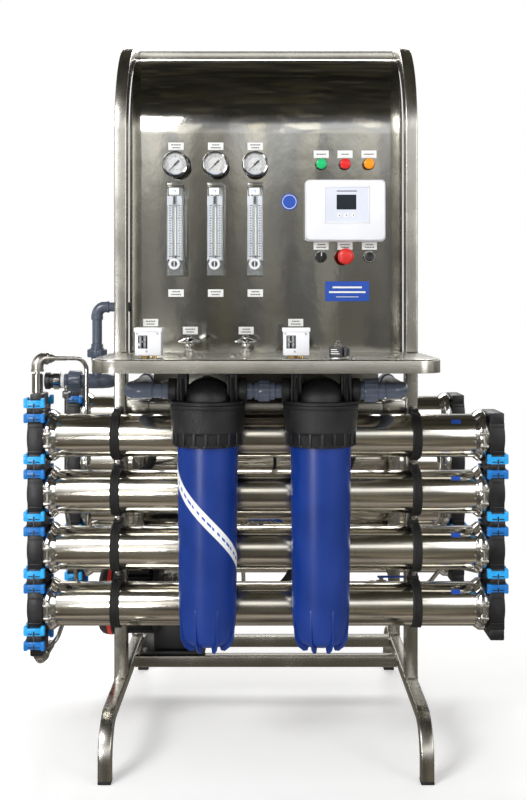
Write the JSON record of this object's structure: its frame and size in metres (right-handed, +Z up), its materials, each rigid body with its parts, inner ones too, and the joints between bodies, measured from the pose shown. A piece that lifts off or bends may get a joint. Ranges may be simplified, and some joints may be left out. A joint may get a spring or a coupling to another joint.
{
  "type": "reverse osmosis unit",
  "caption": "Floor-standing reverse osmosis unit: stainless stand with arched control panel, membrane housings in two columns, pre-filters, gauges, flow meters and pump.",
  "frame": {"origin": "on the floor, in the middle of the unit's box", "axes": "+Z up, the control panel faces -Y, +X to the viewer's right"},
  "size_m": [1.146, 0.875, 1.76],
  "materials": {
    "brushed_stainless": "satin",
    "polished_stainless": "polished",
    "chrome": "polished",
    "black_rubber": "matte",
    "black_plastic": "matte",
    "bowl_blue": "satin",
    "grey_pipe": "satin",
    "white_housing": "satin",
    "stop_red": "gloss",
    "clear_acrylic": "clear",
    "motor_black": "satin"
  },
  "bodies": {
    "stand": {"base_rail_left": "brushed_stainless", "side_tube_left": "brushed_stainless", "rear_post_left": "brushed_stainless", "foot_cap_front_left": "black_rubber", "manifold_front_left": "black_plastic", "foot_cap_rear_left": "black_rubber", "manifold_rear_left": "black_plastic", "filter_cap_left": "black_plastic", "pressure_switch_left": "white_housing", "base_rail_right": "brushed_stainless", "side_tube_right": "brushed_stainless", "rear_post_right": "brushed_stainless", "foot_cap_front_right": "black_rubber", "manifold_front_right": "black_plastic", "foot_cap_rear_right": "black_rubber", "manifold_rear_right": "black_plastic", "filter_cap_right": "black_plastic", "pressure_switch_right": "white_housing", "low_crossbar_front": "brushed_stainless", "low_crossbar_rear": "brushed_stainless", "mid_crossbar": "brushed_stainless", "top_crossbar": "brushed_stainless", "shelf": "brushed_stainless", "manifold_feed_pipe": "brushed_stainless", "control_panel": "polished_stainless", "membrane_housing_front_1": "polished_stainless", "membrane_housing_front_2": "polished_stainless", "membrane_housing_front_3": "polished_stainless", "membrane_housing_front_4": "polished_stainless", "membrane_housing_rear_1": "polished_stainless", "membrane_housing_rear_2": "polished_stainless", "membrane_housing_rear_3": "polished_stainless", "membrane_housing_rear_4": "polished_stainless", "gauge_case_1": "chrome", "flow_meter_1": "clear_acrylic", "gauge_case_2": "chrome", "flow_meter_2": "clear_acrylic", "gauge_case_3": "chrome", "flow_meter_3": "clear_acrylic", "controller_case": "white_housing", "pump": "motor_black", "feed_pipe": "grey_pipe", "filter_inlet_pipe": "grey_pipe", "filter_outlet_pipe": "grey_pipe", "filter_link_pipe": "grey_pipe"},
    "filter_bowl_left": {"filter_bowl_left": "bowl_blue"},
    "lock_ring_left": {"lock_ring_left": "black_plastic"},
    "filter_bowl_right": {"filter_bowl_right": "bowl_blue"},
    "lock_ring_right": {"lock_ring_right": "black_plastic"},
    "gauge_needle_1": {"gauge_needle_1": "black_plastic"},
    "flow_float_1": {"flow_float_1": "brushed_stainless"},
    "gauge_needle_2": {"gauge_needle_2": "black_plastic"},
    "flow_float_2": {"flow_float_2": "brushed_stainless"},
    "gauge_needle_3": {"gauge_needle_3": "black_plastic"},
    "flow_float_3": {"flow_float_3": "brushed_stainless"},
    "estop_head": {"estop_head": "stop_red"},
    "selector_knob": {"selector_knob": "black_plastic"},
    "reset_button": {"reset_button": "black_plastic"},
    "valve_handle_left": {"valve_handle_left": "brushed_stainless"},
    "valve_handle_right": {"valve_handle_right": "brushed_stainless"}
  },
  "joints": [
    {"name": "bowl_drop_left", "type": "slide", "parent": "stand", "child": "filter_bowl_left", "axis": [0, 0, -1], "range_m": [0, 0.25]},
    {"name": "ring_turn_left", "type": "hinge", "parent": "filter_bowl_left", "child": "lock_ring_left", "pos_m": [-0.133, -0.3005, 0.8], "axis": [0, 0, 1], "continuous": true},
    {"name": "bowl_drop_right", "type": "slide", "parent": "stand", "child": "filter_bowl_right", "axis": [0, 0, -1], "range_m": [0, 0.25]},
    {"name": "ring_turn_right", "type": "hinge", "parent": "filter_bowl_right", "child": "lock_ring_right", "pos_m": [0.125, -0.3005, 0.8], "axis": [0, 0, 1], "continuous": true},
    {"name": "gauge_1_pointer", "type": "hinge", "parent": "stand", "child": "gauge_needle_1", "pos_m": [-0.227, -0.0588, 1.421], "axis": [0, 1, 0], "range_deg": [0, 270], "stiffness_Nm_per_rad": 0.0005},
    {"name": "meter_1_float", "type": "slide", "parent": "stand", "child": "flow_float_1", "axis": [0, 0, 1], "range_m": [0, 0.16]},
    {"name": "gauge_2_pointer", "type": "hinge", "parent": "stand", "child": "gauge_needle_2", "pos_m": [-0.127, -0.0588, 1.421], "axis": [0, 1, 0], "range_deg": [0, 270], "stiffness_Nm_per_rad": 0.0005},
    {"name": "meter_2_float", "type": "slide", "parent": "stand", "child": "flow_float_2", "axis": [0, 0, 1], "range_m": [0, 0.16]},
    {"name": "gauge_3_pointer", "type": "hinge", "parent": "stand", "child": "gauge_needle_3", "pos_m": [-0.027, -0.0588, 1.421], "axis": [0, 1, 0], "range_deg": [0, 270], "stiffness_Nm_per_rad": 0.0005},
    {"name": "meter_3_float", "type": "slide", "parent": "stand", "child": "flow_float_3", "axis": [0, 0, 1], "range_m": [0, 0.16]},
    {"name": "stop_press", "type": "slide", "parent": "stand", "child": "estop_head", "axis": [0, 1, 0], "range_m": [0, 0.006], "stiffness_N_per_m": 800},
    {"name": "selector_turn", "type": "hinge", "parent": "stand", "child": "selector_knob", "pos_m": [0.139, -0.0455, 1.19], "axis": [0, -1, 0], "range_deg": [-45, 45]},
    {"name": "reset_press", "type": "slide", "parent": "stand", "child": "reset_button", "axis": [0, 1, 0], "range_m": [0, 0.004], "stiffness_N_per_m": 600},
    {"name": "valve_turn_left", "type": "hinge", "parent": "stand", "child": "valve_handle_left", "pos_m": [-0.183, -0.1975, 0.97], "axis": [0, 0, 1], "range_deg": [0, 720]},
    {"name": "valve_turn_right", "type": "hinge", "parent": "stand", "child": "valve_handle_right", "pos_m": [-0.048, -0.1975, 0.97], "axis": [0, 0, 1], "range_deg": [0, 720]}
  ]
}
